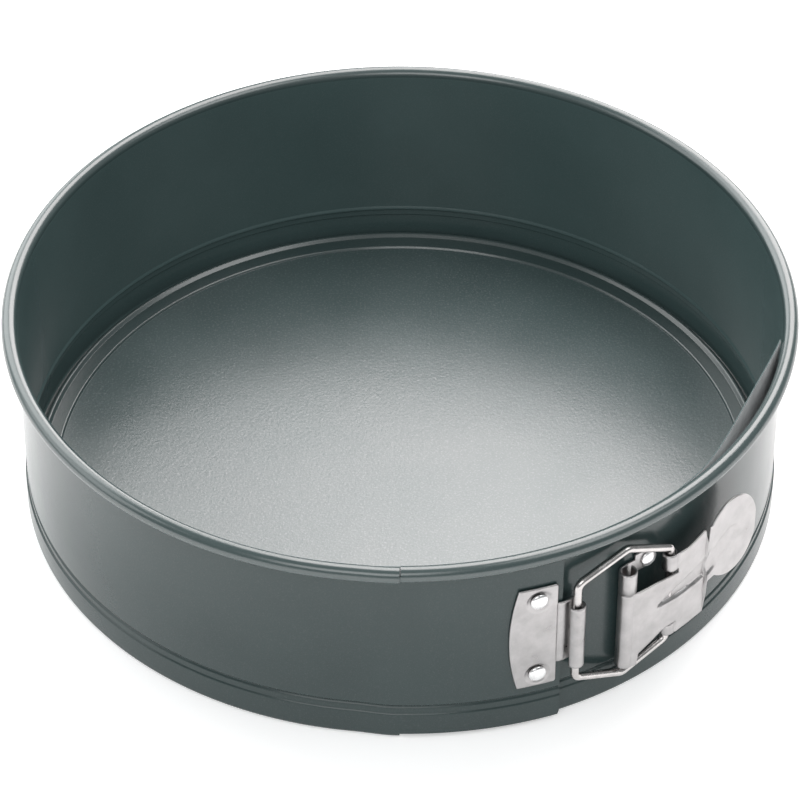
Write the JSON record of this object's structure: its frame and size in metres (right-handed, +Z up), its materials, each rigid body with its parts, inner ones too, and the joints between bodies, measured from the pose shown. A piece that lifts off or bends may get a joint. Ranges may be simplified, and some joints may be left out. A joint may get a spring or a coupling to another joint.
{
  "type": "springform pan",
  "caption": "Round springform cake pan: a lapped wall band with a rolled rim and a toggle latch, around a recessed lift-out base.",
  "frame": {"origin": "pan axis at the plane the pan rests on", "axes": "+Z up along the pan axis, -Y the front where the band laps, +X to the right with the latch between -Y and +X"},
  "size_m": [0.3122, 0.3135, 0.0886],
  "materials": {
    "coated_steel": "semi-gloss non-stick coating on rolled carbon steel",
    "plated_steel": "satin zinc plate",
    "rivet_metal": "bright upset head"
  },
  "bodies": {
    "wall_right": {"band_right": "coated_steel", "seal_flap": "coated_steel", "right_bracket": "plated_steel", "right_rivet_upper": "rivet_metal", "right_rivet_lower": "rivet_metal", "pivot_pin": "plated_steel"},
    "wall_left": {"band_left": "coated_steel", "left_bracket": "plated_steel", "left_rivet_upper": "rivet_metal", "left_rivet_lower": "rivet_metal"},
    "bail_loop": {"bail": "plated_steel"},
    "lever_arm": {"lever": "plated_steel"},
    "base": {"base_plate": "coated_steel"}
  },
  "joints": [
    {"name": "lever_pivot", "type": "hinge", "parent": "wall_right", "child": "lever_arm", "pos_m": [0.08454, -0.12968, 0.0358], "axis": [0, 0, -1], "range_deg": [0, 100]},
    {"name": "band_spread", "type": "hinge", "parent": "wall_right", "child": "wall_left", "pos_m": [-0.06614, 0.14184, 0.044], "axis": [0, 0, -1], "range_deg": [0, 3.02]},
    {"name": "bail_swing", "type": "hinge", "parent": "wall_left", "child": "bail_loop", "pos_m": [0.06543, -0.14161, 0.046], "axis": [0, 0, -1], "range_deg": [0, 29.43]},
    {"name": "base_lift", "type": "slide", "parent": "wall_right", "child": "base", "axis": [0, 0, 1], "range_m": [0, 0.12]}
  ],
  "couplings": [
    {"joint": "band_spread", "follows": "lever_pivot", "ratio": 0.030177},
    {"joint": "bail_swing", "follows": "lever_pivot", "ratio": 0.29426}
  ]
}
